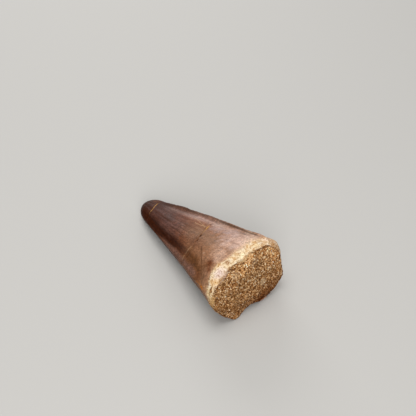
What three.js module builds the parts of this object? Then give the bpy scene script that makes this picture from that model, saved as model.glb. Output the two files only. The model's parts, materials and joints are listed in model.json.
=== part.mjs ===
// Fossil mosasaur tooth, lying on its side.
//
// The real thing is one lump of stone: a blunt, worn cone of dark enamel over dentine, with a cutting edge
// (carina) down each side, old breaks that run round the crown, a chipped pale rim where the enamel stops,
// and sandy rock that fills the broken end.  It is built as one closed skin: rows of points from the tip to
// the enamel's edge, over the rim, and in rings across the rocky face.  What would reach below the floor is
// worn flat, and that is the small flat spot that the tooth rests on.
//
// Millimetres, +Z up.  The tip points to -X and the broken end to +X.  Angles around the crown are in
// degrees, from +Y over the top (90) to -Y (180).

import * as THREE from "three";

// ---- Driving dimensions -----------------------------------------------------------------------------------

const CROWN_LENGTH = 58.6; // from the tip to the middle of the broken end, along the crown's own axis
const AXIS_TILT = 9.45; // degrees that the axis rises towards the broken end, because the crown is a cone
const TIP_HALF_WIDTH = 4.3; // the cone's section at the tip, before its end is rounded over
const TIP_HALF_HEIGHT = 2.9;
const TIP_ROUNDING = 5.4; // length of the rounded, worn end
const WAIST = 0.5; // how far the sides and top hollow in, half way along; the underside is straight
const TIP_SHIFT = 0.5; // how far the front of the crown sits towards -Y of the cone's axis
const TIP_SHIFT_FADES = [16, 34]; // distances from the tip between which it comes back to the axis
const RESTING_WEAR = 0.5; // how deep the underside is worn flat

// Outline of the crown at the broken end: its radius every 30 degrees.
const END_RADII = [15.0, 15.9, 13.9, 12.3, 13.6, 16.4, 17.4, 15.9, 14.8, 12.8, 14.8, 16.6];

// The broken end is nearly square to the axis: how much further out it stands per millimetre up and to +Y.
const END_LEAN_UP = -0.02;
const END_LEAN_SIDE = 0.03;

// Cutting edges: a keen ridge high on the +Y side and a worn one on the -Y side, with a flute above it.
const CARINAE = [
  { angle: 46, height: 1.25, halfWidth: 1.1, rises: [7, 19] },
  { angle: 175, height: 0.55, halfWidth: 0.75, rises: [3, 12] },
]; // rises: the distances from the tip between which the ridge grows to its full height
const FLUTE_ANGLE = 158;
const FLUTE_DEPTH = 0.5;
const FLUTE_HALF_ANGLE = 14;

// Old breaks that run round the crown: distance from the tip every 30 degrees, and the groove they leave.
const TIP_CRACK_AT = [7.4, 7.0, 7.0, 7.5, 8.3, 8.8, 8.7, 8.2, 8.4, 8.9, 8.6, 7.9];
const TIP_CRACK_DEPTH = 0.14;
const TIP_CRACK_HALF_WIDTH = 0.35;
const BREAK_AT = [34.8, 34.2, 34.4, 35.3, 37.3, 38.7, 35.4, 33.4, 34.8, 37.0, 37.4, 36.0];
const BREAK_DEPTH = 0.2;
const BREAK_HALF_WIDTH = 0.55;
const BREAK_STEP = 0.12; // the crown stands this much prouder on the tip's side of the break

// Where the enamel stops: distance from the tip every 15 degrees, and the step down to the rim.
const ENAMEL_ENDS_AT = [
  56.5, 56.6, 56.4, 55.8, 54.8, 54.9, 55.1, 55.7, 56.2, 54.4, 54.9, 55.5,
  54.4, 55.0, 56.0, 56.8, 56.7, 55.6, 56.6, 58.2, 57.4, 55.8, 56.4, 56.0,
];
const ENAMEL_THICKNESS = 0.3;
const RIM_BULGE = 0.4; // how full the rim is between the enamel and the rock
const RIM_LUMP_HEIGHT = 0.16;
const RIM_LUMP_SIZE = 1.8;

// Outline of the rocky face, inside the crown's: its radius every 15 degrees.  A bite is gone underneath.
const FACE_RADII = [
  13.2, 13.5, 13.5, 13.0, 12.2, 11.6, 11.1, 10.3, 12.0, 13.2, 14.3, 16.7,
  16.7, 15.9, 15.1, 15.3, 15.1, 11.9, 10.7, 11.1, 12.7, 14.1, 15.4, 14.2,
];

// The rocky face: a low dome with lumps and pits.
const FACE_CROWN = 0.8;
const LUMP_HEIGHT = 0.5;
const LUMP_SIZE = 4.2;
const CRUMB_HEIGHT = 0.28;
const CRUMB_SIZE = 1.7;
const SCALLOP_DEPTH = 0.25; // how ragged the face's edge is
const SCALLOP_SIZE = 2.6;

// Small swells and dents in the enamel.
const SWELL_HEIGHT = 0.16;
const SWELL_SIZE = 7;

// ---- How fine the skin is ---------------------------------------------------------------------------------

const COLUMNS_OVER_TOP = 34; // between the cutting edges, over the top
const COLUMNS_UNDER = 46; // between the cutting edges, underneath
const CROWD_TO_EDGES = 0.45; // 0 spaces the columns evenly, 1 crowds them to the cutting edges
const TIP_ROWS = 6;
const UPPER_ROWS = 15;
const LOWER_ROWS = 10;
const FACE_RINGS = 13;

const ENAMEL_COLOUR = 0x6b4c40;

// ---- Small tools ------------------------------------------------------------------------------------------

const { lerp, degToRad, euclideanModulo, smoothstep } = THREE.MathUtils;

// A smooth closed curve through values that are evenly spaced around the crown.
function around(values, angle) {
  const at = (euclideanModulo(angle, 360) / 360) * values.length;
  const i = Math.floor(at);
  const t = at - i;
  const [a, b, c, d] = [-1, 0, 1, 2].map((k) => values[euclideanModulo(i + k, values.length)]);
  return b + 0.5 * t * (c - a + t * (2 * a - 5 * b + 4 * c - d + t * (3 * (b - c) + d - a)));
}

// The same pseudo-random number from 0 to 1 for the same three whole numbers.
function speckle(i, j, k) {
  const mixed = Math.sin(i * 127.1 + j * 311.7 + k * 74.7) * 43758.5453;
  return mixed - Math.floor(mixed);
}

// Smooth noise from -1 to 1, whose lumps are about one unit across.
function lumps(x, y, z) {
  const corner = [x, y, z].map(Math.floor);
  const [u, v, w] = [x, y, z].map((p, axis) => smoothstep(p - corner[axis], 0, 1));
  const [i, j, k] = corner;
  const edge = (dj, dk) => lerp(speckle(i, j + dj, k + dk), speckle(i + 1, j + dj, k + dk), u);
  return 2 * lerp(lerp(edge(0, 0), edge(1, 0), v), lerp(edge(0, 1), edge(1, 1), v), w) - 1;
}

// The smaller angle between two directions around the crown, in degrees.
function angleBetween(a, b) {
  return Math.abs(euclideanModulo(a - b + 180, 360) - 180);
}

// A bump that is 1 in the middle and falls smoothly to 0 at the half width.
function bump(distance, halfWidth) {
  return 1 - smoothstep(Math.abs(distance), 0, halfWidth);
}

// ---- The crown's surface ----------------------------------------------------------------------------------

function tipRadius(angle) {
  const across = Math.cos(degToRad(angle)) / TIP_HALF_WIDTH;
  const up = Math.sin(degToRad(angle)) / TIP_HALF_HEIGHT;
  return 1 / Math.hypot(across, up);
}

// Radius of the bare cone, without ridges or cracks.
function coneRadius(angle, along) {
  const share = along / CROWN_LENGTH;
  const hollow = WAIST * smoothstep(Math.sin(degToRad(angle)), -1, -0.3);
  return lerp(tipRadius(angle), around(END_RADII, angle), share) - 4 * hollow * share * (1 - share);
}

function breakGroove(angle, along) {
  const past = along - around(BREAK_AT, angle);
  const step = BREAK_STEP * (1 - smoothstep(past, 0, BREAK_HALF_WIDTH)) * smoothstep(past, -8, 0);
  return step - BREAK_DEPTH * bump(past, BREAK_HALF_WIDTH);
}

function tipCrackGroove(angle, along) {
  return -TIP_CRACK_DEPTH * bump(along - around(TIP_CRACK_AT, angle), TIP_CRACK_HALF_WIDTH);
}

// The cutting edges start behind the worn tip and fade out just before the enamel stops.
function carinaRidge(angle, along, radius) {
  const chips = (0.85 + 0.15 * lumps(along / 2.3, 5, 9)) * (1 - smoothstep(along, 53, 58));
  return CARINAE.reduce((total, { angle: at, height, halfWidth, rises }) => {
    const away = degToRad(angleBetween(angle, at)) * radius;
    return total + height * chips * smoothstep(along, ...rises) * bump(away, halfWidth);
  }, 0);
}

function flute(angle, along) {
  const fade = smoothstep(along, 4, 14) * (1 - smoothstep(along, 38, 50));
  return -FLUTE_DEPTH * fade * bump(angleBetween(angle, FLUTE_ANGLE), FLUTE_HALF_ANGLE);
}

function crownRadius(angle, along) {
  const bare = coneRadius(angle, along);
  const turned = degToRad(angle);
  const swells = lumps(
    along / SWELL_SIZE,
    (bare * Math.cos(turned)) / SWELL_SIZE,
    (bare * Math.sin(turned)) / SWELL_SIZE,
  );
  const relief =
    carinaRidge(angle, along, bare) +
    flute(angle, along) +
    breakGroove(angle, along) +
    tipCrackGroove(angle, along) +
    SWELL_HEIGHT * swells;
  const rounding = along < TIP_ROUNDING ? Math.sqrt(1 - (1 - along / TIP_ROUNDING) ** 2) : 1;
  return (bare + relief) * rounding;
}

// A step straight away from the axis.
function outward(angle, distance) {
  const turned = degToRad(angle);
  return new THREE.Vector3(0, distance * Math.cos(turned), distance * Math.sin(turned));
}

// A point of the crown, from its distance along the axis, its angle, and its radius.
function pointAt(along, angle, radius) {
  const shift = TIP_SHIFT * (1 - smoothstep(along, ...TIP_SHIFT_FADES));
  return outward(angle, radius).add(new THREE.Vector3(along, -shift, 0));
}

// Distance from the tip of the plane that the broken end lies in.
function endPlane(y, z) {
  return CROWN_LENGTH + END_LEAN_SIDE * y + END_LEAN_UP * z;
}

// ---- Rows of the skin, from the tip to the middle of the rocky face ---------------------------------------

// Evenly spaced rows between two curves round the crown, without the curves themselves.
function rowsBetween(from, to, count) {
  return Array.from({ length: count }, (_, k) => {
    const share = (k + 1) / (count + 1);
    return (angle) => lerp(from(angle), to(angle), share);
  });
}

// Three rows that draw a groove: its near edge, its bottom and its far edge.
function grooveRows(values, halfWidth) {
  return [-halfWidth, 0, halfWidth].map((offset) => (angle) => around(values, angle) + offset);
}

function crownRows() {
  const tipRows = Array.from({ length: TIP_ROWS }, (_, k) => {
    const along = TIP_ROUNDING * (1 - Math.cos((0.5 * Math.PI * (k + 1)) / TIP_ROWS));
    return () => along;
  });
  const tipCrack = grooveRows(TIP_CRACK_AT, TIP_CRACK_HALF_WIDTH);
  const oldBreak = grooveRows(BREAK_AT, BREAK_HALF_WIDTH);
  const enamelEnd = (angle) => around(ENAMEL_ENDS_AT, angle);
  return [
    ...tipRows,
    ...tipCrack,
    ...rowsBetween(tipCrack[2], oldBreak[0], UPPER_ROWS),
    ...oldBreak,
    ...rowsBetween(oldBreak[2], enamelEnd, LOWER_ROWS),
    enamelEnd,
  ].map((row) => (angle) => {
    const along = row(angle);
    return pointAt(along, angle, crownRadius(angle, along));
  });
}

// The edge of the rocky face: inside the crown's outline, and ragged.
function faceEdge(angle) {
  const edge = outward(angle, around(FACE_RADII, angle));
  const scallop = SCALLOP_DEPTH * lumps(edge.y / SCALLOP_SIZE, edge.z / SCALLOP_SIZE, 4);
  edge.setLength(edge.length() + scallop);
  edge.x = endPlane(edge.y, edge.z);
  return edge;
}

// The rim steps down from the enamel's edge and slopes over to the rocky face.
function rimRows() {
  const lip = (angle) => {
    const along = around(ENAMEL_ENDS_AT, angle);
    return pointAt(along + 0.3, angle, crownRadius(angle, along) - ENAMEL_THICKNESS);
  };
  const shoulder = (share) => (angle) => {
    const middle = lip(angle).lerp(faceEdge(angle), share);
    const lump = RIM_LUMP_HEIGHT * lumps(middle.y / RIM_LUMP_SIZE, middle.z / RIM_LUMP_SIZE, 1);
    return middle.add(outward(angle, RIM_BULGE + lump));
  };
  return [lip, shoulder(0.4), shoulder(0.78)];
}

// A point of the rocky face; share is 1 at its edge and 0 in the middle.
function facePoint(angle, share) {
  const edge = faceEdge(angle);
  const [y, z] = [edge.y * share, edge.z * share];
  const lump = LUMP_HEIGHT * lumps(y / LUMP_SIZE, z / LUMP_SIZE, 3);
  const crumb = CRUMB_HEIGHT * lumps(y / CRUMB_SIZE, z / CRUMB_SIZE, 7);
  const out = FACE_CROWN * (1 - share * share) + lump + crumb;
  return new THREE.Vector3(endPlane(y, z) + out, y, z);
}

function faceRows() {
  return Array.from({ length: FACE_RINGS }, (_, ring) => (angle) => facePoint(angle, 1 - ring / FACE_RINGS));
}

// Angles of the columns: crowded towards both cutting edges, where the ridges need them.
function columnAngles() {
  const [first, second] = CARINAE.map(({ angle }) => angle);
  const span = (from, to, count) =>
    Array.from({ length: count }, (_, k) => {
      const even = k / count;
      const crowded = 0.5 - 0.5 * Math.cos(Math.PI * even);
      return lerp(from, to, lerp(even, crowded, CROWD_TO_EDGES));
    });
  return [...span(first, second, COLUMNS_OVER_TOP), ...span(second, first + 360, COLUMNS_UNDER)];
}

// ---- The solid --------------------------------------------------------------------------------------------

// Joins the rows into one closed skin, with a single point at the tip and one in the middle of the face.
function skinOf(rows, angles, tip, middle) {
  const count = angles.length;
  const points = [tip, ...rows.flatMap((row) => angles.map(row)), middle];
  const last = points.length - 1;
  const corner = (row, column) => 1 + row * count + (column % count);
  const faces = [];
  for (let j = 0; j < count; j++) {
    faces.push(0, corner(0, j + 1), corner(0, j));
    faces.push(last, corner(rows.length - 1, j), corner(rows.length - 1, j + 1));
    for (let i = 0; i + 1 < rows.length; i++) {
      const [a, b] = [corner(i, j), corner(i, j + 1)];
      const [c, d] = [corner(i + 1, j), corner(i + 1, j + 1)];
      faces.push(a, b, c, b, d, c);
    }
  }
  return new THREE.BufferGeometry().setFromPoints(points).setIndex(faces);
}

function toothGeometry() {
  const rows = [...crownRows(), ...rimRows(), ...faceRows()];
  const tip = pointAt(0, 0, 0);
  const skin = skinOf(rows, columnAngles(), tip, facePoint(0, 0)).rotateY(-degToRad(AXIS_TILT));

  // Lay it down, with the origin under the middle of its box, and wear flat what would be below the floor.
  skin.computeBoundingBox();
  const { min, max } = skin.boundingBox;
  skin.translate(-0.5 * (min.x + max.x), -0.5 * (min.y + max.y), -min.z - RESTING_WEAR);
  const points = skin.getAttribute("position");
  for (let i = 0; i < points.count; i++) points.setZ(i, Math.max(points.getZ(i), 0));
  return skin;
}

const tooth = new THREE.Mesh(
  toothGeometry(),
  new THREE.MeshStandardMaterial({ color: ENAMEL_COLOUR, roughness: 0.42, metalness: 0 }),
);
tooth.name = "tooth";

const group = new THREE.Group();
group.add(tooth);

export default group;
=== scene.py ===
import json
import math

import bpy
import numpy as np
from mathutils import Matrix, Vector, kdtree, noise

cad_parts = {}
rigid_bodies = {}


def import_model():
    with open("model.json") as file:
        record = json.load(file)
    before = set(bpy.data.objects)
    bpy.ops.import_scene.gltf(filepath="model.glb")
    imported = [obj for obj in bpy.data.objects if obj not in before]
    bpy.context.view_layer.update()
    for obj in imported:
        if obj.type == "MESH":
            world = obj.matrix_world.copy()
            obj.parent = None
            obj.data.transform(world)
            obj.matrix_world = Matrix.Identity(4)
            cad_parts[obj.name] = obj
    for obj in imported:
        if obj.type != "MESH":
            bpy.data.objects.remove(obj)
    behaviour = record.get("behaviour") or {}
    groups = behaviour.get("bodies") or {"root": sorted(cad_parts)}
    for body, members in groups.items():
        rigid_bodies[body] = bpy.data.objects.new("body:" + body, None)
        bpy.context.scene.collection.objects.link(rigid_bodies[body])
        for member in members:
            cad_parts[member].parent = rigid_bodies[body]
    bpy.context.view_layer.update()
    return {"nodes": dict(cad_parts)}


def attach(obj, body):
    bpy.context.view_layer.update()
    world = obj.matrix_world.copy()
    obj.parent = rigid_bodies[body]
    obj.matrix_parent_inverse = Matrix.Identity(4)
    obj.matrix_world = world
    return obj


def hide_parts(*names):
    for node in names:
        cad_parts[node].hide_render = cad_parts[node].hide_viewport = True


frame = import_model()

# ---- Crown -------------------------------------------------------------------------------------------------
# The crown of the tooth: a worn cone of dark fossil enamel, about 60 mm long, over paler dentine that shows
# where the enamel has chipped away round the broken end.  It grew in one piece, lay in phosphate sand, was
# broken across and mended, and its surface is worn and handled to a satin gloss.

MM = 0.001
AXIS_TILT = math.radians(9.45)
CROWN_AXIS = Vector((math.cos(AXIS_TILT), 0, math.sin(AXIS_TILT)))
CROWN_UP = Vector((-math.sin(AXIS_TILT), 0, math.cos(AXIS_TILT)))
FACE_RINGS = 13  # rings of points from the middle of the rocky face to its edge
SOCKET_DEPTH = 1.4 * MM  # how far the crown's wall goes on behind the edge of the rock
SOCKET_STEPS = (0.35, 0.65)  # the shares of that depth in which the wall goes back
SOCKET_NARROWING = 0.965
SOCKET_LIFTS = (0.8, 0.5)  # mm, how far each step is lifted at floor level
LIFT_FADES = 3  # mm above the floor
HELD, FREE = 0.02, 0.5  # mm above the floor: below the first nothing is reshaped, above the second all is
TIP_SHIFT = 0.5 * MM  # how far the front of the crown sits towards -Y of its axis
TIP_SHIFT_FADES = (16, 34)  # mm from the tip

# Distance from the tip, in mm, of what runs round the crown: every 30 degrees, and every 15 for the enamel.
TIP_CRACK_AT = [7.4, 7.0, 7.0, 7.5, 8.3, 8.8, 8.7, 8.2, 8.4, 8.9, 8.6, 7.9]
BREAK_AT = [34.8, 34.2, 34.4, 35.3, 37.3, 38.7, 35.4, 33.4, 34.8, 37.0, 37.4, 36.0]
ENAMEL_ENDS_AT = [
    56.5, 56.6, 56.4, 55.8, 54.8, 54.9, 55.1, 55.7, 56.2, 54.4, 54.9, 55.5,
    54.4, 55.0, 56.0, 56.8, 56.7, 55.6, 56.6, 58.2, 57.4, 55.8, 56.4, 56.0,
]
PALE_FROM = [
    56.3, 56.4, 56.2, 55.6, 54.7, 54.6, 54.8, 54.7, 54.9, 53.4, 53.6, 54.4,
    54.8, 55.0, 55.8, 56.6, 56.5, 55.6, 56.6, 58.2, 57.4, 55.8, 56.4, 56.0,
]
CARINA_ANGLES = [46, 175]  # degrees round the crown of its two cutting edges
CREST_LENGTH = (4, 10, 36, 46)  # mm from the tip: where the upper one's crest begins, is full, fades, ends

# Fine cracks and scratches in the enamel, as (mm from the tip, degrees round the crown).
HAIRLINES = [
    [(26.5, 67), (28.5, 70), (30.5, 75), (32.5, 79), (34.3, 83)],
    [(29.0, 82), (31.0, 83), (32.6, 82), (34.3, 78)],
    [(37.8, 138), (37.5, 143), (36.9, 152), (36.4, 159), (36.0, 168)],
]
DARK_HAIRLINES = [
    [(41.5, 128), (42.7, 133), (46.4, 146), (49.2, 160)],
    [(14.0, 120), (17.0, 121), (21.0, 120)],
    [(22.0, 132), (26.0, 131), (30.0, 133)],
    [(37.0, 8), (42.0, 13), (46.0, 14)],
]
# Chips along the old break that have fallen out, as (degrees, half their length in degrees).
BREAK_CHIPS = [(67, 2.0), (110, 4.6), (123, 2.4), (176, 3.0), (22, 4.0), (335, 3.0)]

tooth = frame["nodes"]["tooth"]
TIP = min((v.co for v in tooth.data.vertices), key=lambda p: p.dot(CROWN_AXIS)) + Vector((0, TIP_SHIFT, 0))


def rise(values, start, end):
    """0 up to start, 1 from end on, and smooth between."""
    t = np.clip((values - start) / (end - start), 0, 1)
    return t * t * (3 - 2 * t)


def places(mesh):
    """Each point's distance from the tip in mm, its angle round the crown in degrees, and its radius in mm.
    The angle is 0 towards +Y and 90 on top."""
    points = np.empty(len(mesh.vertices) * 3)
    mesh.vertices.foreach_get("co", points)
    points = (points.reshape(-1, 3) - TIP) / MM
    along, up = points @ CROWN_AXIS, points @ CROWN_UP
    across = points[:, 1] + TIP_SHIFT / MM * (1 - rise(along, *TIP_SHIFT_FADES))
    return along, np.degrees(np.arctan2(up, across)) % 360, np.hypot(across, up)


def around(values, angles):
    """A smooth closed curve through values that are evenly spaced round the crown."""
    values = np.array(values)
    at = angles / 360 * len(values)
    i = np.floor(at).astype(int)
    t = at - i
    a, b, c, d = (values[(i + k) % len(values)] for k in (-1, 0, 1, 2))
    return b + 0.5 * t * (c - a + t * (2 * a - 5 * b + 4 * c - d + t * (3 * (b - c) + d - a)))


def bump(distance, half_width):
    """1 where the distance is 0, falling smoothly to 0 at the half width."""
    return 1 - rise(np.abs(distance), 0, half_width)


def turn(a, b):
    """The smaller angle between two directions round the crown, in degrees."""
    return np.abs((a - b + 180) % 360 - 180)


def lumps(x, y, z):
    """Smooth noise, about -1 to 1, for arrays of coordinates whose unit is the size of a lump."""
    return np.array([noise.noise(p) for p in zip(x, y, z)])


def pick(piece):
    """Makes a piece the only one that an operator acts on."""
    bpy.ops.object.select_all(action="DESELECT")
    piece.select_set(True)
    bpy.context.view_layer.objects.active = piece


def finish(piece, kind, **settings):
    """Adds a modifier to a piece and applies it."""
    modifier = piece.modifiers.new(kind.title(), kind)
    for name, value in settings.items():
        setattr(modifier, name, value)
    pick(piece)
    bpy.ops.object.modifier_apply(modifier=modifier.name)


def normals(mesh):
    """The outward direction at each point of a mesh."""
    out = np.empty(len(mesh.vertices) * 3)
    mesh.vertices.foreach_get("normal", out)
    return out.reshape(-1, 3)


def move_points(mesh, distances, directions):
    """Moves each point of a mesh by its own distance in mm; what rests on the floor stays where it is."""
    points = np.empty(len(mesh.vertices) * 3)
    mesh.vertices.foreach_get("co", points)
    points = points.reshape(-1, 3)
    free = rise(points[:, 2] / MM, HELD, FREE)
    points += (distances * free)[:, None] * directions * MM
    points[:, 2] = np.maximum(points[:, 2], 0)
    mesh.vertices.foreach_set("co", points.ravel())
    mesh.update()


def note(mesh, name, values):
    """Keeps a number or a vector for each point, for the material to read."""
    kind, key = ("FLOAT", "value") if values.ndim == 1 else ("FLOAT_VECTOR", "vector")
    attribute = mesh.attributes.new(name, kind, "POINT")
    attribute.data.foreach_set(key, values.astype(np.float32).ravel())


def lift(piece, height):
    """Lifts a piece's selected points by up to height mm where they are near the floor, so that what is
    hidden inside the tooth doesn't come out of its flat underside."""
    bpy.ops.object.mode_set(mode="OBJECT")
    for vertex in piece.data.vertices:
        if vertex.select:
            vertex.co.z += height * MM * (1 - rise(vertex.co.z / MM, 0, LIFT_FADES))
    bpy.ops.object.mode_set(mode="EDIT")


# The crown starts as a copy of the solid, whose rocky face is taken off for a piece of its own.
crown = tooth.copy()
crown.data = tooth.data.copy()
for key in list(crown.keys()):
    del crown[key]
crown.parent = None
crown.name = crown.data.name = "crown"
bpy.context.scene.collection.objects.link(crown)
pick(crown)
bpy.ops.object.mode_set(mode="EDIT")
bpy.ops.mesh.customdata_custom_splitnormals_clear()
bpy.ops.mesh.select_mode(type="VERT")
bpy.ops.mesh.select_all(action="SELECT")
bpy.ops.mesh.remove_doubles(threshold=1e-6)
bpy.ops.mesh.tris_convert_to_quads(face_threshold=math.pi, shape_threshold=math.pi)
bpy.ops.mesh.select_all(action="DESELECT")
bpy.ops.object.mode_set(mode="OBJECT")
along, angle, radius = places(crown.data)
face_middle = int(np.argmax(along - 5 * radius))
crown.data.vertices[face_middle].select = True
bpy.ops.object.mode_set(mode="EDIT")
for _ in range(FACE_RINGS):
    bpy.ops.mesh.select_more()
bpy.ops.mesh.separate(type="SELECTED")
rock = next(o for o in bpy.context.selected_objects if o != crown)

# Its wall goes on a little way behind the rock, and is closed there.
bpy.ops.mesh.select_mode(type="EDGE")
bpy.ops.mesh.select_all(action="DESELECT")
bpy.ops.mesh.select_non_manifold()
first_step, second_step = (-share * SOCKET_DEPTH * CROWN_AXIS for share in SOCKET_STEPS)
bpy.ops.mesh.extrude_region_move(TRANSFORM_OT_translate={"value": first_step})
bpy.ops.transform.resize(value=(SOCKET_NARROWING,) * 3)
lift(crown, SOCKET_LIFTS[0])
bpy.ops.mesh.extrude_region_move(TRANSFORM_OT_translate={"value": second_step})
lift(crown, SOCKET_LIFTS[1])
bpy.ops.mesh.edge_face_add()
bpy.ops.object.mode_set(mode="OBJECT")
finish(crown, "SUBSURF", levels=2, render_levels=2)
crown.data.materials.clear()

# Worked over as a carver would: a ragged enamel edge, cracks, chips, faint long facets and a rough rim.
# The heights, depths and widths are in mm.
NOTCH_HEIGHT, NOTCH_REACH = 0.5, 1.6
FACET_HEIGHT, WRINKLE_HEIGHT = 0.07, 0.03
TIP_CRACK_DEPTH, TIP_CRACK_HALF_WIDTH = 0.05, 0.22
BREAK_DEPTH, BREAK_HALF_WIDTH = 0.06, 0.35
GOLD_HEIGHT = 0.16  # from the bottom of the break, so the gold stands a little proud
CHIP_DEPTH, CHIP_HALF_WIDTH = 0.18, 0.75
CRENULATION_HEIGHT, CRENULATION_LENGTH, CARINA_HALF_WIDTH = 0.1, 0.9, 0.8
CREST_HEIGHT, CREST_HALF_WIDTH = 0.3, 1.6
along, angle, radius = places(crown.data)
turned = np.radians(angle)
y, z = radius * np.cos(turned), radius * np.sin(turned)
past_enamel = along - around(ENAMEL_ENDS_AT, angle)
past_break = along - around(BREAK_AT, angle)
past_tip_crack = along - around(TIP_CRACK_AT, angle)
notches = lumps(y / 1.6, z / 1.6, 0 * along) + 0.6 * lumps(y / 0.6, z / 0.6, 0 * along)
move_points(crown.data, NOTCH_HEIGHT * notches * bump(past_enamel, NOTCH_REACH), np.array(CROWN_AXIS))

# The gold-coloured cement in the cracks shows on some stretches only, and fills them there.  A stretch is
# (degrees round the crown, half its length in degrees, how full it is).
GOLD_IN_BREAK = [(78, 15, 1.2), (94, 12, 0.45), (142, 14, 0.25), (250, 50, 0.7)]
GOLD_IN_TIP_CRACK = [(104, 58, 1.3), (300, 40, 0.7)]
gold_in_break, gold_in_tip = (
    np.clip(sum(full * bump(turn(angle, at), half) for at, half, full in stretches), 0, 1)
    for stretches in (GOLD_IN_BREAK, GOLD_IN_TIP_CRACK)
)

uneven = lumps(along / 1.5, y / 1.3, z / 1.3)
facets = FACET_HEIGHT * lumps(5 * np.cos(turned), 5 * np.sin(turned), along / 26)
wrinkles = WRINKLE_HEIGHT * lumps(22 * np.cos(turned), 22 * np.sin(turned), along / 7)
cracks = TIP_CRACK_DEPTH * bump(past_tip_crack, TIP_CRACK_HALF_WIDTH) * (1 - gold_in_tip)
cracks += bump(past_break, BREAK_HALF_WIDTH) * (BREAK_DEPTH - GOLD_HEIGHT * gold_in_break)
chips = sum(bump(turn(angle, at), 1.6 * half) for at, half in BREAK_CHIPS)
chips = chips * bump(past_break, CHIP_HALF_WIDTH)
near_carina = sum(bump(np.radians(turn(angle, at)) * radius, CARINA_HALF_WIDTH) for at in CARINA_ANGLES)
near_carina *= rise(along, 3, 12) * (1 - rise(along, 50, 54))
crenulation = CRENULATION_HEIGHT * near_carina * lumps(along / CRENULATION_LENGTH, 0 * along, 0 * along)
crest_starts, crest_full, crest_fades, crest_ends = CREST_LENGTH
crest = CREST_HEIGHT * bump(np.radians(turn(angle, CARINA_ANGLES[0])) * radius, CREST_HALF_WIDTH)
crest = crest * rise(along, crest_starts, crest_full) * (1 - rise(along, crest_fades, crest_ends))
bare = rise(past_enamel, 0, 0.5)
rim_lumps = 0.1 * lumps(along / 1.3, y / 1.3, z / 1.3) + 0.06 * lumps(along / 0.6, y / 0.6, z / 0.6)
relief = (facets + wrinkles) * (1 - bare) - cracks - CHIP_DEPTH * chips
relief = relief + crenulation + crest + rim_lumps * bare
move_points(crown.data, relief, normals(crown.data))


def distance_to_lines(lines):
    """How far each point of the crown is from the nearest of some lines on it, in mm."""
    nearest = np.full(len(along), 99.0)
    for line in lines:
        for (s0, a0), (s1, a1) in zip(line, line[1:]):
            length, width = along - s0, np.radians((angle - a0 + 180) % 360 - 180) * radius
            to_s, to_w = s1 - s0, math.radians(a1 - a0) * radius
            share = np.clip((length * to_s + width * to_w) / (to_s**2 + to_w**2), 0, 1)
            nearest = np.minimum(nearest, np.hypot(length - share * to_s, width - share * to_w))
    return nearest


def patch(at_mm, at_angle, half_length, half_width):
    """1 in the middle of a soft patch of the skin with an uneven edge, 0 outside; the halves are in mm."""
    across_mm = np.radians((angle - at_angle + 180) % 360 - 180) * radius
    return 1 - rise(np.hypot((along - at_mm) / half_length, across_mm / half_width) + 0.35 * uneven, 0, 1)


def linear(hex_colour):
    """An sRGB hex colour as linear red, green, blue and alpha."""
    parts = [int(hex_colour[i : i + 2], 16) / 255 for i in (1, 3, 5)]
    return [p / 12.92 if p <= 0.04045 else ((p + 0.055) / 1.055) ** 2.4 for p in parts] + [1]


def shades(positions, stops):
    """The colour of each point, between colours that are set at a few positions."""
    channels = zip(*(linear(colour)[:3] for colour in stops.values()))
    return np.stack([np.interp(positions, list(stops), channel) for channel in channels], 1)


def paint(colours, colour, share):
    """Lays a colour over those of the points, as thickly as share says, from 0 to 1."""
    share = np.clip(share, 0, 1)[:, None]
    return colours * (1 - share) + np.array(linear(colour)[:3]) * share


# The stain: chocolate at the tip and mauve-tan towards the root, in soft clouds, with painted sheen lighter
# on top.
STAIN_FROM_TIP = {
    0: "#34170a",
    10: "#3a1c0f",
    20: "#492919",
    30: "#613a27",
    36: "#6e462f",
    44: "#80593f",
    51: "#8d664c",
    58: "#9a7056",
}
CLOUD_TINT = np.array([0.14, 0.2, 0.28])  # how much lighter a cloud is, in red, green and blue
SHEEN_TINT = np.array([0.3, 0.36, 0.42])  # the same for the painted sheen
SHEEN_FROM = [(6, 20), (12, 40), (16, 44)]  # mm from the tip between which it begins, in red, green and blue
clouds = lumps(y / 2.6, z / 2.6, along / 5)
stain_and_sheen = shades(along + 2.5 * lumps(y / 5, z / 5, along / 9), STAIN_FROM_TIP)
stain_and_sheen *= 1 + clouds[:, None] * CLOUD_TINT
# Painted sheen: lighter and greyer on top towards the root, and on the upper side in the middle of the crown.
painted_sheen_top = bump(turn(angle, 75), 45)[:, None] * np.stack([rise(along, *ends) for ends in SHEEN_FROM], 1)
stain_and_sheen *= 1 + painted_sheen_top * SHEEN_TINT
painted_sheen_side = bump(turn(angle, 60), 28) * rise(along, 12, 22) * (1 - rise(along, 36, 46))
stain_and_sheen *= 1 + painted_sheen_side[:, None] * SHEEN_TINT

# A nearly black stripe runs down one flank from the tip, in a shallow flute above the lower cutting edge.  A
# paler strip beside that edge is painted reflection, the crown is dark again below it, and brown towards the
# root.
ragged = lumps(y / 0.8, z / 0.8, along / 6)
stripe_middle = np.interp(along, [4, 8, 20, 27, 40], [160, 160, 160, 157, 154])
stripe_half = np.interp(along, [4, 8, 20, 27, 40], [13, 14, 11, 9, 7])
off_stripe = turn(angle, stripe_middle) / stripe_half + 0.35 * ragged
stripe = (1 - rise(off_stripe, 0.55, 1.35)) * rise(along, 1, 5)
# Painted sheen: a mauve-grey patch over the upper flank towards the tip.
stain_and_sheen = paint(stain_and_sheen, "#5b3e37", 0.85 * patch(18, 130, 16, 6.0))
stain_and_sheen = paint(stain_and_sheen, "#8a6350", 0.35 * (1 + ragged) * patch(30, 122, 7, 2.6))
flank = rise(angle, 142, 158) * (1 - rise(angle, 200, 240))
stain_and_sheen = paint(stain_and_sheen, "#5e381b", 0.8 * flank * rise(along, 32, 42) * (1 - 0.7 * rise(along, 46, 52)))
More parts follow.
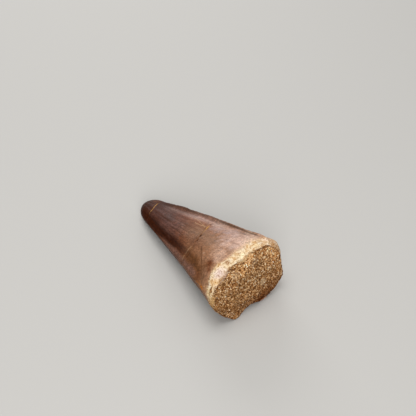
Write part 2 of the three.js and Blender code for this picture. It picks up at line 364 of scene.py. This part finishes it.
# Painted reflection: the paler strip beside the lower cutting edge.
reflection_strip = bump(turn(angle, 170), 10) * rise(along, 16, 28) * (1 - rise(along, 40, 48))
stain_and_sheen = paint(stain_and_sheen, "#6d4e41", 0.8 * reflection_strip)
stain_and_sheen = paint(stain_and_sheen, "#5a3414", 0.7 * patch(42, 152, 8, 3.4))
stain_and_sheen = paint(stain_and_sheen, "#331406", 0.97 * stripe * (1 - rise(along, 26, 44)))
below_edge = rise(angle, 186, 193) * (1 - rise(angle, 205, 240)) * rise(along, 2, 8)
stain_and_sheen = paint(stain_and_sheen, "#24110a", 0.75 * below_edge)

# Odd stains and patches of painted sheen: mm from the tip, degrees round the crown, half length and half
# width in mm, colour and strength.  The pale greyish-lilac patches on top towards the root are painted sheen.
ODD_STAINS_AND_SHEEN = [
    (50.0, 139, 2.4, 2.2, "#63331b", 0.85),
    (51.6, 147, 2.4, 2.0, "#6e3c22", 0.7),
    (48.4, 146, 3.6, 2.6, "#5f3a1e", 0.6),
    (18.5, 110, 4.5, 3.0, "#33241f", 0.5),
    (4.2, 92, 4.0, 3.5, "#371707", 0.5),
    (14.5, 138, 6.0, 2.6, "#3a1c0e", 0.55),
    (22.0, 145, 5.0, 2.0, "#3c1f12", 0.5),
    (35.0, 104, 13.0, 6.0, "#7a5a42", 0.7),
    (36.0, 132, 8.0, 4.0, "#6e4c38", 0.6),
    (24.0, 128, 8.0, 5.0, "#5c4038", 0.6),
    (48.0, 112, 6.0, 5.0, "#a8836a", 0.5),
    (42.5, 106, 4.0, 4.0, "#80604a", 0.5),
    (5.0, 58, 4.0, 3.0, "#663616", 0.4),
    # Painted sheen, pale greyish lilac: this patch and the six after it.
    (49.5, 78, 9.0, 9.0, "#c2a89e", 0.58),
    (38.5, 70, 5.0, 4.0, "#ab9794", 0.5),
    (44.0, 66, 5.0, 5.0, "#a58f8c", 0.45),
    (37.0, 54, 5.0, 2.4, "#a28a7c", 0.5),
    (49.3, 50, 2.6, 1.8, "#b59c86", 0.6),
    (51.0, 122, 4.5, 4.0, "#d0ae98", 0.5),
    (53.0, 64, 3.5, 6.0, "#cdb09a", 0.6),
    (43.0, 168, 4.5, 2.6, "#7d594a", 0.7),
    (49.0, 171, 4.5, 2.6, "#96673f", 0.6),
    (47.6, 168, 2.6, 3.2, "#6b3a20", 0.6),
    (50.8, 174, 2.2, 1.8, "#9c5a16", 0.8),
    (52.5, 168, 2.0, 3.0, "#b98a62", 0.6),
    (44.7, 134, 0.6, 0.5, "#b8967c", 0.7),
    (47.5, 55, 3.2, 0.9, "#573a26", 0.9),
    (59.0, 285, 3.4, 5.4, "#7d3a18", 0.95),
    (52.5, 262, 4.0, 5.0, "#6a371c", 0.5),
    (30.0, 250, 9.0, 4.0, "#4a2a18", 0.5),
    (46.0, 300, 7.0, 4.0, "#6d4a30", 0.5),
    (20.0, 8, 8.0, 3.0, "#54301e", 0.5),
    (42.0, 345, 7.0, 3.5, "#8a6046", 0.5),
]
for at_mm, at_angle, half_length, half_width, shade, strength in ODD_STAINS_AND_SHEEN:
    share = strength * (1 + 0.4 * ragged) * patch(at_mm, at_angle, half_length, half_width)
    stain_and_sheen = paint(stain_and_sheen, shade, share)
stain_and_sheen = paint(stain_and_sheen, "#42200f", 0.85 * rise(chips, 0.3, 0.8))
stain_and_sheen = paint(stain_and_sheen, "#4a2c18", 0.3 * bump(past_break, 0.5))

# Dark lines just inside the upper cutting edge, with a paler line of painted highlight beside them.
top_edge = rise(along, 8, 14) * (1 - rise(along, 51, 55)) * (turn(angle, 50) < 60)
top_edge_angle = np.interp(along, [12, 20, 34, 50], [50, 48, 48, 49])
off_top_edge = np.radians(top_edge_angle - angle) * radius + 0.12 * ragged
beside_top_edge = rise(off_top_edge, 0.2, 0.6) * (1 - rise(off_top_edge, 2, 4)) * top_edge
stain_and_sheen = paint(stain_and_sheen, "#694836", 0.5 * beside_top_edge)
line_width = np.interp(along, [20, 40, 50], [0.6, 0.5, 0.35])
line_share = np.interp(along, [14, 32, 36, 48], [0.5, 0.7, 0.9, 0.85])
stain_and_sheen = paint(stain_and_sheen, "#3a2413", line_share * bump(off_top_edge / line_width, 1) * top_edge)
# Painted highlight: a pale greyish line a little inside the upper cutting edge.
highlight_share = np.interp(along, [9, 14, 20, 26, 36, 44], [0.0, 0.15, 0.2, 0.5, 0.4, 0.2])
stain_and_sheen = paint(stain_and_sheen, "#b39c92", highlight_share * bump(off_top_edge + 1.6, 2.2) * top_edge)

# A band of paler enamel follows the broken edge, and the skin thins out towards the bare rim.
past_rim = along - around(PALE_FROM, angle)
stain_and_sheen = paint(stain_and_sheen, "#ab8268", 0.45 * bump(past_rim + 5.2, 2.2) * bump(turn(angle, 95), 55))
stain_and_sheen = paint(stain_and_sheen, "#c59a70", 0.4 * rise(past_rim, -1.8, 0))
stain_and_sheen = paint(stain_and_sheen, "#e2c6a6", 0.5 * rise(past_rim + 0.6 * uneven, -2.6, 0.4) * bump(turn(angle, 80), 56))

# The rim: bare dentine and broken enamel, cream, with pinkish-white patches, golden next to the rock.
crumbling = lumps(y / 1.4, z / 1.4, along / 1.4)
dentine = shades(turn(angle, 135), {0: "#e2cba6", 60: "#dcc39e", 100: "#c8a27c", 180: "#b08552"})
dentine = paint(dentine, "#bd8a52", 0.75 * rise(crumbling, 0.1, 0.5))
dentine = paint(dentine, "#f2e4cc", 0.7 * rise(-crumbling, 0.15, 0.45))
dentine = paint(dentine, "#8a5a2e", 0.8 * rise(past_rim + 0.8 * uneven, 3.2, 4.4))

# Odd pieces of the rim, given in the same way as the odd stains.
ODD_PIECES = [
    (56.0, 142, 2.6, 3.8, "#dcc5ba", 1.0),
    (55.9, 124, 1.6, 1.4, "#84522a", 0.75),
    (56.9, 100, 1.2, 2.0, "#f4e4bc", 0.9),
    (58.4, 98, 0.9, 2.0, "#a0703c", 0.7),
    (56.9, 154, 1.6, 2.2, "#dcae72", 0.7),
    (56.8, 70, 1.0, 2.0, "#f0dcae", 0.7),
    (55.9, 45, 1.6, 2.4, "#cfac94", 0.7),
    (57.4, 36, 1.6, 2.0, "#b98a62", 0.7),
    (55.8, 103, 1.0, 1.6, "#b98a58", 0.7),
    (55.6, 156, 1.8, 2.0, "#cf9d62", 0.8),
    (56.2, 170, 2.2, 3.4, "#e6c48c", 0.8),
    (58.0, 178, 1.5, 3.0, "#dba862", 0.8),
    (59.0, 285, 3.4, 5.4, "#8c4a2a", 1.0),
]
for at_mm, at_angle, half_length, half_width, shade, strength in ODD_PIECES:
    dentine = paint(dentine, shade, strength * patch(at_mm, at_angle, half_length, half_width))

# The gold line is of uneven width, and every crack wanders a little.
GOLD_HALF_WIDTH = 0.42  # mm, where it is widest
crumbs = 0.7 + 0.6 * lumps(y / 0.7, z / 0.7, along / 0.7)
wander = 0.25 * lumps(y / 1.2, z / 1.2, along / 1.2)

# The enamel's patterns are laid out in mm as on a rod, so that they narrow towards the tip as the crown does,
# and the scratches on the same rod twisted a little.
ROD_RADIUS = 10
ROD_TWIST = 0.055  # radians per mm
twisted = turned + ROD_TWIST * along
note(crown.data, "skin", np.stack([along, ROD_RADIUS * np.cos(turned), ROD_RADIUS * np.sin(turned)], 1))
note(crown.data, "askew", np.stack([along, ROD_RADIUS * np.cos(twisted), ROD_RADIUS * np.sin(twisted)], 1))
# The skin's colour: its stains, with the painted sheen, highlight and reflection laid over them.
note(crown.data, "stain_and_sheen", np.clip(stain_and_sheen, 0, 1))
note(crown.data, "dentine", np.clip(dentine, 0, 1))
note(crown.data, "streaky", 0.15 + 0.33 * (1 - rise(along, 30, 42)))
note(crown.data, "past_rim", past_rim + 0.5 * crumbling)
note(crown.data, "past_break", past_break + wander)
note(crown.data, "past_tip_crack", past_tip_crack + wander)
note(crown.data, "break_gold", GOLD_HALF_WIDTH * crumbs * gold_in_break)
note(crown.data, "tip_gold", 0.7 * GOLD_HALF_WIDTH * crumbs * gold_in_tip)
note(crown.data, "hairline", distance_to_lines(HAIRLINES) + np.abs(wander))
note(crown.data, "dark_hairline", distance_to_lines(DARK_HAIRLINES) + 0.5 * np.abs(wander))
pick(crown)
bpy.ops.object.shade_smooth()


def add(kind, inputs, output=None, **settings):
    """Adds a node to the material in hand, with its settings, and its inputs as values, as hex colours or as
    other nodes' outputs.  Gives back the output that is named, or the one in use."""
    node = tree.nodes.new("ShaderNode" + kind)
    for name, value in settings.items():
        setattr(node, name, value)
    for socket, value in inputs.items():
        if isinstance(value, bpy.types.NodeSocket):
            tree.links.new(value, node.inputs[socket])
        else:
            node.inputs[socket].default_value = linear(value) if isinstance(value, str) else value
    return node.outputs[output] if output else next(socket for socket in node.outputs if socket.enabled)


# Fossil enamel: fluorapatite stained by iron and manganese, worn and handled to a satin gloss, which breaks
# up into fine streaks along the tooth.  The fine wear scatters most of the glint: its specular level is low.
ENAMEL_SPECULAR = 0.03
RIM_ROUGHNESS = 0.85
SPECK = 0.4  # mm across, as the pores are
MOTTLE = 1.1  # mm across
NOISE_SPAN = {"From Min": 0.3, "From Max": 0.7}  # where nearly all values of a noise lie


def per_mm(*sizes):
    """A pattern's scale along each axis, from the size of its features in mm."""
    return tuple(1 / size for size in sizes)


enamel = bpy.data.materials.new("fossil_enamel_satin")
enamel.use_nodes = True
tree = enamel.node_tree
shader = tree.nodes["Principled BSDF"]
skin = add("Attribute", {}, attribute_name="skin", output="Vector")
# The skin's stains, with painted sheen, highlight and reflection.
skin_stain_and_sheen = add("Attribute", {}, attribute_name="stain_and_sheen", output="Color")

# Streaks 9 mm long and 0.4 mm wide, stronger in the front half, growth lines 0.8 mm apart, and mottling.
streak_place = add("Mapping", {"Vector": skin, "Scale": per_mm(9, 0.4, 0.4)})
streaks = add("TexNoise", {"Vector": streak_place, "Scale": 1.0, "Detail": 5.0, "Roughness": 0.65})
streak_light = add("MapRange", {"Value": streaks, **NOISE_SPAN, "To Min": 0.3, "To Max": 1.7})
streaky = add("Attribute", {}, attribute_name="streaky", output="Fac")
skin_stain_and_sheen = add("Mix", {0: streaky, 6: skin_stain_and_sheen, 7: streak_light}, data_type="RGBA", blend_type="MULTIPLY")
growth_place = add("Mapping", {"Vector": skin, "Scale": per_mm(0.8, 6, 6)})
growth = add("TexNoise", {"Vector": growth_place, "Scale": 1.0, "Detail": 3.0, "Roughness": 0.6})
growth_light = add("MapRange", {"Value": growth, **NOISE_SPAN, "To Min": 0.5, "To Max": 1.5})
skin_stain_and_sheen = add("Mix", {0: 0.22, 6: skin_stain_and_sheen, 7: growth_light}, data_type="RGBA", blend_type="MULTIPLY")
mottle = add("TexNoise", {"Vector": skin, "Scale": 1 / MOTTLE, "Detail": 5.0, "Roughness": 0.75})
mottle_light = add("MapRange", {"Value": mottle, **NOISE_SPAN, "To Min": 0.5, "To Max": 1.5})
skin_stain_and_sheen = add("Mix", {0: 0.6, 6: skin_stain_and_sheen, 7: mottle_light}, data_type="RGBA", blend_type="MULTIPLY")

# Fine scratches, 5 mm long and 0.25 mm wide, that run askew to the tooth's length.
askew_skin = add("Attribute", {}, attribute_name="askew", output="Vector")
scratch_place = add("Mapping", {"Vector": askew_skin, "Scale": per_mm(5, 0.25, 0.25)})
scratches = add("TexNoise", {"Vector": scratch_place, "Scale": 1.0, "Detail": 3.0, "Roughness": 0.6})
SCRATCH_SPAN = {"From Min": 0.35, "From Max": 0.65}
scratch_light = add("MapRange", {"Value": scratches, **SCRATCH_SPAN, "To Min": 0.7, "To Max": 1.3})
skin_stain_and_sheen = add("Mix", {0: 0.5, 6: skin_stain_and_sheen, 7: scratch_light}, data_type="RGBA", blend_type="MULTIPLY")

# Pores, and dust in them.
pores = add("TexNoise", {"Vector": skin, "Scale": 1 / SPECK, "Detail": 2.0, "Roughness": 0.6})
pore_light = add("MapRange", {"Value": pores, **NOISE_SPAN, "To Min": 0.4, "To Max": 1.6})
skin_stain_and_sheen = add("Mix", {0: 0.5, 6: skin_stain_and_sheen, 7: pore_light}, data_type="RGBA", blend_type="MULTIPLY")

# Gold cement in the two cracks, and hairlines about 0.4 mm wide, which is as fine as they still show.
HAIRLINE_SPAN = {"From Min": 0.3, "From Max": 0.12}  # mm off the line: where it ends, and where it is full
off_break = add("Attribute", {}, attribute_name="past_break", output="Fac")
off_break = add("Math", {0: off_break}, operation="ABSOLUTE")
break_gold = add("Attribute", {}, attribute_name="break_gold", output="Fac")
break_gold = add("Math", {0: break_gold, 1: off_break}, operation="SUBTRACT")
off_tip_crack = add("Attribute", {}, attribute_name="past_tip_crack", output="Fac")
off_tip_crack = add("Math", {0: off_tip_crack}, operation="ABSOLUTE")
tip_gold = add("Attribute", {}, attribute_name="tip_gold", output="Fac")
tip_gold = add("Math", {0: tip_gold, 1: off_tip_crack}, operation="SUBTRACT")
gold = add("Math", {0: break_gold, 1: tip_gold}, operation="MAXIMUM")
gold = add("MapRange", {"Value": gold, "From Min": 0.0, "From Max": 0.14, "To Max": 0.85})
skin_stain_and_sheen = add("Mix", {0: gold, 6: skin_stain_and_sheen, 7: "#b58648"}, data_type="RGBA")
for line, strength, shade in (("hairline", 0.42, "#b5946e"), ("dark_hairline", 0.6, "#3a2010")):
    off_line = add("Attribute", {}, attribute_name=line, output="Fac")
    on_line = add("MapRange", {"Value": off_line, **HAIRLINE_SPAN, "To Max": strength})
    skin_stain_and_sheen = add("Mix", {0: on_line, 6: skin_stain_and_sheen, 7: shade}, data_type="RGBA")

# The dentine of the rim has dark specks and light ones, and they also make its border with the enamel ragged.
specks = add("TexNoise", {"Vector": skin, "Scale": 1 / SPECK, "Detail": 3.0, "Roughness": 0.65})
dark_specks = add("MapRange", {"Value": specks, "From Min": 0.48, "From Max": 0.38, "To Max": 0.75})
light_specks = add("MapRange", {"Value": specks, "From Min": 0.56, "From Max": 0.68, "To Max": 0.8})
rim = add("Attribute", {}, attribute_name="dentine", output="Color")
rim = add("Mix", {0: dark_specks, 6: rim, 7: "#8f6030"}, data_type="RGBA")
rim = add("Mix", {0: light_specks, 6: rim, 7: "#f6e6c6"}, data_type="RGBA")
past_rim_edge = add("Attribute", {}, attribute_name="past_rim", output="Fac")
ragged_edge = add("Math", {0: specks, 1: 2.2, 2: past_rim_edge}, operation="MULTIPLY_ADD")
on_rim = add("MapRange", {"Value": ragged_edge, "From Min": 0.75, "From Max": 1.45})
crown_colour = add("Mix", {0: on_rim, 6: skin_stain_and_sheen, 7: rim}, data_type="RGBA")
tree.links.new(crown_colour, shader.inputs["Base Color"])

# The light streaks are glossier than the dark ones, and the rim is dull and gritty.
gloss = add("MapRange", {"Value": streaks, **NOISE_SPAN, "To Min": 0.4, "To Max": 0.24})
tree.links.new(add("Mix", {0: on_rim, 2: gloss, 3: RIM_ROUGHNESS}), shader.inputs["Roughness"])
shader.inputs["Specular IOR Level"].default_value = ENAMEL_SPECULAR
fine_place = add("Mapping", {"Vector": skin, "Scale": per_mm(7, 0.3, 0.3)})
fine = add("TexNoise", {"Vector": fine_place, "Scale": 1.0, "Detail": 4.0, "Roughness": 0.6})
rim_grit = add("Math", {0: specks, 1: on_rim}, operation="MULTIPLY")
fine_height = add("Math", {0: rim_grit, 1: 2.0, 2: fine}, operation="MULTIPLY_ADD")
fine_relief = add("Bump", {"Height": fine_height, "Strength": 0.5, "Distance": 0.12 * MM})
tree.links.new(fine_relief, shader.inputs["Normal"])
crown.data.materials.append(enamel)
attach(crown, "root")
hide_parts("tooth")

# ---- Rock --------------------------------------------------------------------------------------------------
# The rock that fills the broken end: phosphate sand, cemented into a crumbly brown sandstone of grains about
# a third of a millimetre across.  It set inside the hollow root and broke off roughly level with its edge.

GRAIN = 0.36  # mm across
GRAIN_SEED = 7
GRAIN_SCATTER = 0.45  # how far a grain sits off its place in a regular stack, in grains
GRAIN_HEIGHT = 0.14  # mm from the gap between grains to their middles
PROUD_HEIGHT = 0.1  # mm by which single grains stand out or lie deep
SWELL_HEIGHT, SWELL_LENGTH = 0.25, 2.4  # mm
ROCK_SINKS = 0.1  # mm
ROCK_VOXEL = 0.14 * MM
ROCK_DEPTH = 1.3 * SOCKET_DEPTH
ROCK_LIFT = 0.6  # mm, at floor level

rock.name = rock.data.name = "rock"
rock.data.materials.clear()
pick(rock)
bpy.ops.object.mode_set(mode="EDIT")
bpy.ops.mesh.select_mode(type="VERT")
bpy.ops.mesh.select_all(action="DESELECT")
bpy.ops.mesh.select_non_manifold()
bpy.ops.object.mode_set(mode="OBJECT")
border = [vertex.co.copy() for vertex in rock.data.vertices if vertex.select]
bpy.ops.object.mode_set(mode="EDIT")
bpy.ops.mesh.select_all(action="SELECT")
bpy.ops.mesh.extrude_region_move(TRANSFORM_OT_translate={"value": -ROCK_DEPTH * CROWN_AXIS})
lift(rock, ROCK_LIFT)
bpy.ops.mesh.select_all(action="SELECT")
bpy.ops.mesh.normals_make_consistent(inside=False)
bpy.ops.object.mode_set(mode="OBJECT")
finish(rock, "SUBSURF", levels=2, render_levels=2, subdivision_type="SIMPLE")
finish(rock, "REMESH", mode="VOXEL", voxel_size=ROCK_VOXEL)

along, angle, radius = places(rock.data)
y, z = radius * np.cos(np.radians(angle)), radius * np.sin(np.radians(angle))
place = np.stack([along, y, z], 1)
random = np.random.default_rng(GRAIN_SEED)
spans = [np.arange(low - GRAIN, high + GRAIN, GRAIN) for low, high in zip(place.min(0), place.max(0))]
middles = np.stack(np.meshgrid(*spans, indexing="ij"), -1).reshape(-1, 3)
middles += random.uniform(-GRAIN_SCATTER, GRAIN_SCATTER, middles.shape) * GRAIN
grains = kdtree.KDTree(len(middles))
for i, middle in enumerate(middles):
    grains.insert(middle, i)
grains.balance()
found = [grains.find_n(p, 2) for p in place]
grain = np.array([nearest[1] for nearest, second in found])
gap = np.array([second[2] - nearest[2] for nearest, second in found])
gap = np.clip(gap / (0.5 * GRAIN), 0, 1)
tone = random.uniform(0, 1, len(middles))[grain]
proud = random.uniform(-1, 1, len(middles))[grain]
swell = lumps(along / SWELL_LENGTH, y / SWELL_LENGTH, z / SWELL_LENGTH)
relief = GRAIN_HEIGHT * np.sqrt(gap) + PROUD_HEIGHT * proud + SWELL_HEIGHT * swell - ROCK_SINKS
move_points(rock.data, relief, normals(rock.data))

border_points = kdtree.KDTree(len(border))
for i, point in enumerate(border):
    border_points.insert(point, i)
border_points.balance()
from_border = np.array([border_points.find(vertex.co)[2] / MM for vertex in rock.data.vertices])

# Brown phosphate grains with some of pale quartz and dark iron oxide, dark in the gaps between them.
sand = shades(tone, {0.0: "#4c2b11", 0.35: "#8f5f35", 0.65: "#b38755", 0.93: "#d8b285", 1.0: "#f2e0c2"})
GAP_TINT = np.array([0.28, 0.18, 0.1])  # what is left of the light in a gap, in red, green and blue
sand *= GAP_TINT + (1.08 - GAP_TINT) * rise(gap, 0, 0.4)[:, None]

# Painted light and shade: the sand is lighter towards the rim on top and on the +Y side, and darker below.
# It is also cloudy.
sand *= 1 + 0.36 * (rise(radius, 3, 10) * bump(turn(angle, 110), 70))[:, None]
sand *= 1 + (rise(radius, 5, 12) * bump(turn(angle, 30), 66))[:, None] * (0.7, 0.75, 0.85)
sand *= 1 - rise(-z, 0, 14)[:, None] * (0.14, 0.2, 0.24)
sand *= 1 + 0.3 * lumps(along / 1.8, y / 1.8, z / 1.8)[:, None]

# Along the border: the brown skin, crumbs of the wall on top and at the -Y side, and painted shade at the
# lower edge.
brown_skin = 1 - 0.8 * bump(turn(angle, 98), 36) - 0.8 * bump(turn(angle, 178), 20)
sand = paint(sand, "#5a371c", 0.8 * bump(from_border, 1.0) * brown_skin)
sand = paint(sand, "#e6c796", 0.7 * bump(from_border + 0.4 * swell, 1.3) * bump(turn(angle, 98), 26))
sand = paint(sand, "#e0c2ae", 0.7 * bump(from_border, 1.0) * bump(turn(angle, 144), 14))
sand = paint(sand, "#d8ae74", 0.7 * bump(from_border, 1.2) * bump(turn(angle, 178), 18))
# Painted shade: darker towards the lower edge, and a dark band along it.
sand *= 1 - (rise(radius, 5, 12) * bump(turn(angle, 292), 60))[:, None] * (0.42, 0.58, 0.7)
shade_at_lower_edge = (1 - rise(from_border + 0.8 * swell, 0.5, 2.0)) * bump(turn(angle, 292), 55)
sand = paint(sand, "#4a2408", 0.85 * shade_at_lower_edge)

# Three greyish lumps: degrees round the rock, mm from its middle, and strength.
for at_angle, at_radius, strength in ((323, 5.7, 0.45), (137, 9.2, 0.35), (76, 7.3, 0.25)):
    at_y, at_z = at_radius * math.cos(math.radians(at_angle)), at_radius * math.sin(math.radians(at_angle))
    away = np.hypot(y - at_y, z - at_z) + 0.7 * swell
    sand = paint(sand, "#b8a080", strength * (1 - rise(away, 0.4, 2.0)))
note(rock.data, "sand", np.clip(sand, 0, 1))
pick(rock)
bpy.ops.object.shade_smooth()

# Cemented sand: dull, with a finer grit on and between the grains, drawn 0.3 mm coarse so that it shows.
SAND_GRIT = 0.3 * MM
SAND_ROUGHNESS, SAND_SPECULAR = 0.85, 0.06
sandstone = bpy.data.materials.new("phosphate_sandstone_broken")
sandstone.use_nodes = True
tree = sandstone.node_tree
shader = tree.nodes["Principled BSDF"]
place_on_rock = add("TexCoord", {}, output="Object")
grit = add("TexNoise", {"Vector": place_on_rock, "Scale": 1 / SAND_GRIT, "Detail": 3.0, "Roughness": 0.7})
grit_light = add("MapRange", {"Value": grit, **NOISE_SPAN, "To Min": 0.5, "To Max": 1.5})
grain_colour = add("Attribute", {}, attribute_name="sand", output="Color")
rock_colour = add("Mix", {0: 1.0, 6: grain_colour, 7: grit_light}, data_type="RGBA", blend_type="MULTIPLY")
tree.links.new(rock_colour, shader.inputs["Base Color"])
shader.inputs["Roughness"].default_value = SAND_ROUGHNESS
shader.inputs["Specular IOR Level"].default_value = SAND_SPECULAR
rock.data.materials.append(sandstone)
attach(rock, "root")

# ---- Floor, light and camera -------------------------------------------------------------------------------
# A pale matt table top, a large soft lamp overhead, a low panel of light behind the tip and a weak lamp in
# front of the broken end.

FLOOR_SIZE = 3  # m
FLOOR_ROUGHNESS = 0.9
STUDIO_LIGHT = 0.35

bpy.ops.object.select_all(action="DESELECT")
bpy.ops.mesh.primitive_plane_add(size=FLOOR_SIZE, location=(0, 0, 0))
floor = bpy.context.object
floor.name = "floor"
paper = bpy.data.materials.new("matt_white_paper")
paper.use_nodes = True
shader = paper.node_tree.nodes["Principled BSDF"]
shader.inputs["Base Color"].default_value = linear("#b6b4b0")
shader.inputs["Roughness"].default_value = FLOOR_ROUGHNESS
floor.data.materials.append(paper)

world = bpy.data.worlds.new("studio")
world.use_nodes = True
background = world.node_tree.nodes["Background"]
background.inputs["Color"].default_value = linear("#ffffff")
background.inputs["Strength"].default_value = STUDIO_LIGHT
bpy.context.scene.world = world


def soft_lamp(name, place, size, power):
    """A square lamp that faces the tooth; its place and size are in m and its power in watts."""
    bpy.ops.object.light_add(type="AREA", location=place)
    lamp = bpy.context.object
    lamp.name = name
    lamp.rotation_euler = Vector(place).to_track_quat("Z", "Y").to_euler()
    lamp.data.size = size
    lamp.data.energy = power


soft_lamp("overhead", (-0.05, -0.05, 0.6), 0.35, 2.2)
soft_lamp("panel_behind", (-0.5, 0.28, 0.2), 0.4, 2.0)
soft_lamp("front", (0.4, -0.3, 0.3), 0.3, 1.8)

# The camera looks down on the tooth past its broken end.
CAMERA_PLACE = Vector((167.06, -144.51, 257.2)) * MM
CAMERA_LOOK = Vector((-0.51402, 0.46124, -0.72321)).normalized()
CAMERA_RIGHT = Vector((0.65116, 0.75865, 0.02104)).normalized()
FOCAL_PIXELS, FRAME_PIXELS, SENSOR = 940.5, 416, 36
CLIP_START = 0.01  # m

bpy.ops.object.camera_add()
camera = bpy.context.object
camera.name = "camera"
axes = (CAMERA_RIGHT, CAMERA_RIGHT.cross(CAMERA_LOOK), -CAMERA_LOOK)
camera.matrix_world = Matrix.Translation(CAMERA_PLACE) @ Matrix(axes).transposed().to_4x4()
camera.data.sensor_width = SENSOR
camera.data.lens = SENSOR * FOCAL_PIXELS / FRAME_PIXELS
camera.data.clip_start = CLIP_START
bpy.context.scene.camera = camera
bpy.context.scene.view_settings.view_transform = "Standard"
